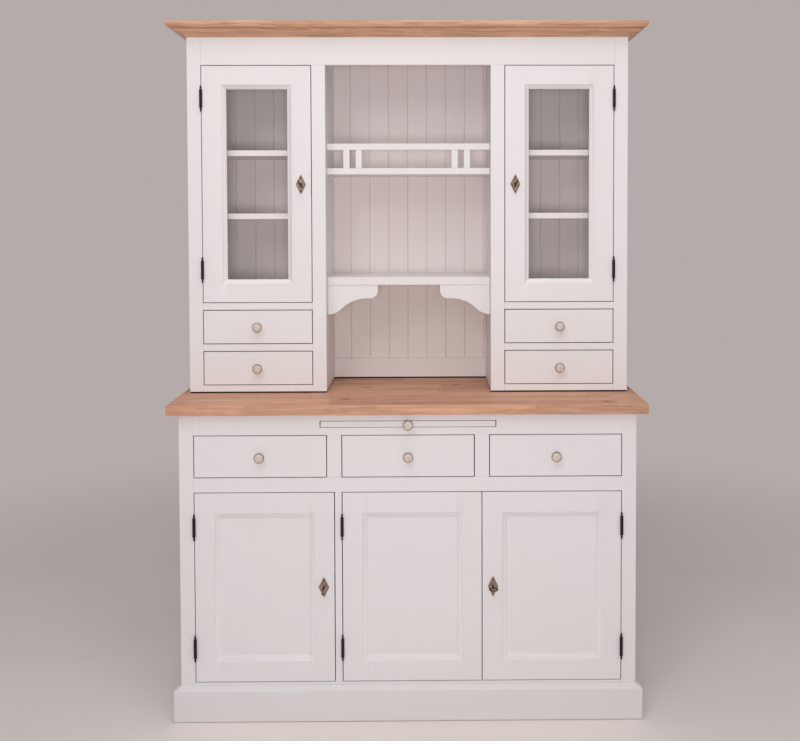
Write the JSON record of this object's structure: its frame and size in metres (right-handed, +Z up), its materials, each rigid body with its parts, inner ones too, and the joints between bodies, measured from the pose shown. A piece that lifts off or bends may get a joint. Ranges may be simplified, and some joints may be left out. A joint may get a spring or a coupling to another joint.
{
  "type": "buffet cabinet",
  "caption": "Painted dresser with an oak worktop: drawers, a pull-out board and panelled doors below, and a hutch with glazed doors, small drawers, open shelves and an oak cornice above.",
  "frame": {"origin": "on the floor under the middle of the object's box", "axes": "+Z up, the front faces -Y, +X to the right seen from the front"},
  "size_m": [1.456, 0.497, 2.072],
  "materials": {
    "paint": "satin paint",
    "oak": "oiled",
    "pine": "bare",
    "iron": "black satin",
    "brass": "antique",
    "glass": "clear",
    "felt": "plain"
  },
  "bodies": {
    "carcass": {"worktop": "oak", "plinth": "paint", "base_side_panels": "paint", "base_stiles": "paint", "base_rails": "paint", "base_muntins": "paint", "base_back_panel": "paint", "base_inner_boards": "paint", "drawer_runners": "pine", "hutch_side_panels": "paint", "hutch_stiles": "paint", "hutch_rails": "paint", "hutch_top_board": "paint", "hutch_back_boards": "paint", "hutch_inner_boards": "paint", "gallery": "paint", "open_shelf": "paint", "cornice": "oak", "felt_pads": "felt", "frame_hinge_halves": "iron"},
    "drawer_base_left": {"drawer_front_base_left": "paint", "drawer_box_base_left": "pine"},
    "drawer_base_centre": {"drawer_front_base_centre": "paint", "drawer_box_base_centre": "pine"},
    "drawer_base_right": {"drawer_front_base_right": "paint", "drawer_box_base_right": "pine"},
    "drawer_low_left": {"drawer_front_low_left": "paint", "drawer_box_low_left": "pine"},
    "drawer_low_right": {"drawer_front_low_right": "paint", "drawer_box_low_right": "pine"},
    "drawer_high_left": {"drawer_front_high_left": "paint", "drawer_box_high_left": "pine"},
    "drawer_high_right": {"drawer_front_high_right": "paint", "drawer_box_high_right": "pine"},
    "pull_out_board": {"pull_out_board": "paint"},
    "left_door": {"door_left": "paint", "hinge_halves_left": "iron", "lock_left": "brass"},
    "centre_door": {"door_centre": "paint", "hinge_halves_centre": "iron"},
    "right_door": {"door_right": "paint", "hinge_halves_right": "iron", "lock_right": "brass"},
    "glass_door_left": {"door_glass_left": "paint", "pane_glass_left": "glass", "hinge_halves_glass_left": "iron", "lock_glass_left": "brass"},
    "glass_door_right": {"door_glass_right": "paint", "pane_glass_right": "glass", "hinge_halves_glass_right": "iron", "lock_glass_right": "brass"},
    "key_left": {"key_left": "brass"},
    "lock_bolt_left": {"lock_bolt_left": "brass"},
    "key_right": {"key_right": "brass"},
    "lock_bolt_right": {"lock_bolt_right": "brass"},
    "key_glass_left": {"key_glass_left": "brass"},
    "lock_bolt_glass_left": {"lock_bolt_glass_left": "brass"},
    "key_glass_right": {"key_glass_right": "brass"},
    "lock_bolt_glass_right": {"lock_bolt_glass_right": "brass"},
    "centre_door_bolt": {"centre_door_bolt": "brass"}
  },
  "joints": [
    {"name": "drawer_base_left_slide", "type": "slide", "parent": "carcass", "child": "drawer_base_left", "axis": [0, -1, 0], "range_m": [0, 0.33]},
    {"name": "drawer_base_centre_slide", "type": "slide", "parent": "carcass", "child": "drawer_base_centre", "axis": [0, -1, 0], "range_m": [0, 0.33]},
    {"name": "drawer_base_right_slide", "type": "slide", "parent": "carcass", "child": "drawer_base_right", "axis": [0, -1, 0], "range_m": [0, 0.33]},
    {"name": "drawer_low_left_slide", "type": "slide", "parent": "carcass", "child": "drawer_low_left", "axis": [0, -1, 0], "range_m": [0, 0.18]},
    {"name": "drawer_low_right_slide", "type": "slide", "parent": "carcass", "child": "drawer_low_right", "axis": [0, -1, 0], "range_m": [0, 0.18]},
    {"name": "drawer_high_left_slide", "type": "slide", "parent": "carcass", "child": "drawer_high_left", "axis": [0, -1, 0], "range_m": [0, 0.18]},
    {"name": "drawer_high_right_slide", "type": "slide", "parent": "carcass", "child": "drawer_high_right", "axis": [0, -1, 0], "range_m": [0, 0.18]},
    {"name": "pull_out_board_slide", "type": "slide", "parent": "carcass", "child": "pull_out_board", "axis": [0, -1, 0], "range_m": [0, 0.3]},
    {"name": "left_door_hinge", "type": "hinge", "parent": "carcass", "child": "left_door", "pos_m": [-0.62675, -0.2137, 0.3945], "axis": [0, 0, -1], "range_deg": [0, 165]},
    {"name": "centre_door_hinge", "type": "hinge", "parent": "carcass", "child": "centre_door", "pos_m": [-0.19392, -0.2137, 0.3945], "axis": [0, 0, -1], "range_deg": [0, 115]},
    {"name": "right_door_hinge", "type": "hinge", "parent": "carcass", "child": "right_door", "pos_m": [0.62675, -0.2137, 0.3945], "axis": [0, 0, 1], "range_deg": [0, 165]},
    {"name": "glass_door_left_hinge", "type": "hinge", "parent": "carcass", "child": "glass_door_left", "pos_m": [-0.63275, -0.0437, 1.58175], "axis": [0, 0, -1], "range_deg": [0, 165]},
    {"name": "glass_door_right_hinge", "type": "hinge", "parent": "carcass", "child": "glass_door_right", "pos_m": [0.63275, -0.0437, 1.58175], "axis": [0, 0, 1], "range_deg": [0, 165]},
    {"name": "key_left_turn", "type": "hinge", "parent": "left_door", "child": "key_left", "pos_m": [-0.24867, -0.2085, 0.3945], "axis": [0, 1, 0], "range_deg": [0, 180]},
    {"name": "lock_bolt_left_slide", "type": "slide", "parent": "left_door", "child": "lock_bolt_left", "axis": [1, 0, 0], "range_m": [0, 0.009]},
    {"name": "key_right_turn", "type": "hinge", "parent": "right_door", "child": "key_right", "pos_m": [0.24867, -0.2085, 0.3945], "axis": [0, 1, 0], "range_deg": [0, 180]},
    {"name": "lock_bolt_right_slide", "type": "slide", "parent": "right_door", "child": "lock_bolt_right", "axis": [-1, 0, 0], "range_m": [0, 0.009]},
    {"name": "key_glass_left_turn", "type": "hinge", "parent": "glass_door_left", "child": "key_glass_left", "pos_m": [-0.3295, -0.0385, 1.58175], "axis": [0, 1, 0], "range_deg": [0, 180]},
    {"name": "lock_bolt_glass_left_slide", "type": "slide", "parent": "glass_door_left", "child": "lock_bolt_glass_left", "axis": [1, 0, 0], "range_m": [0, 0.009]},
    {"name": "key_glass_right_turn", "type": "hinge", "parent": "glass_door_right", "child": "key_glass_right", "pos_m": [0.3295, -0.0385, 1.58175], "axis": [0, 1, 0], "range_deg": [0, 180]},
    {"name": "lock_bolt_glass_right_slide", "type": "slide", "parent": "glass_door_right", "child": "lock_bolt_glass_right", "axis": [-1, 0, 0], "range_m": [0, 0.009]},
    {"name": "centre_door_bolt_slide", "type": "slide", "parent": "centre_door", "child": "centre_door_bolt", "axis": [0, 0, 1], "range_m": [0, 0.01]}
  ],
  "couplings": [
    {"joint": "lock_bolt_left_slide", "follows": "key_left_turn", "m_per_rad": 0.0028648},
    {"joint": "lock_bolt_right_slide", "follows": "key_right_turn", "m_per_rad": 0.0028648},
    {"joint": "lock_bolt_glass_left_slide", "follows": "key_glass_left_turn", "m_per_rad": 0.0028648},
    {"joint": "lock_bolt_glass_right_slide", "follows": "key_glass_right_turn", "m_per_rad": 0.0028648}
  ]
}
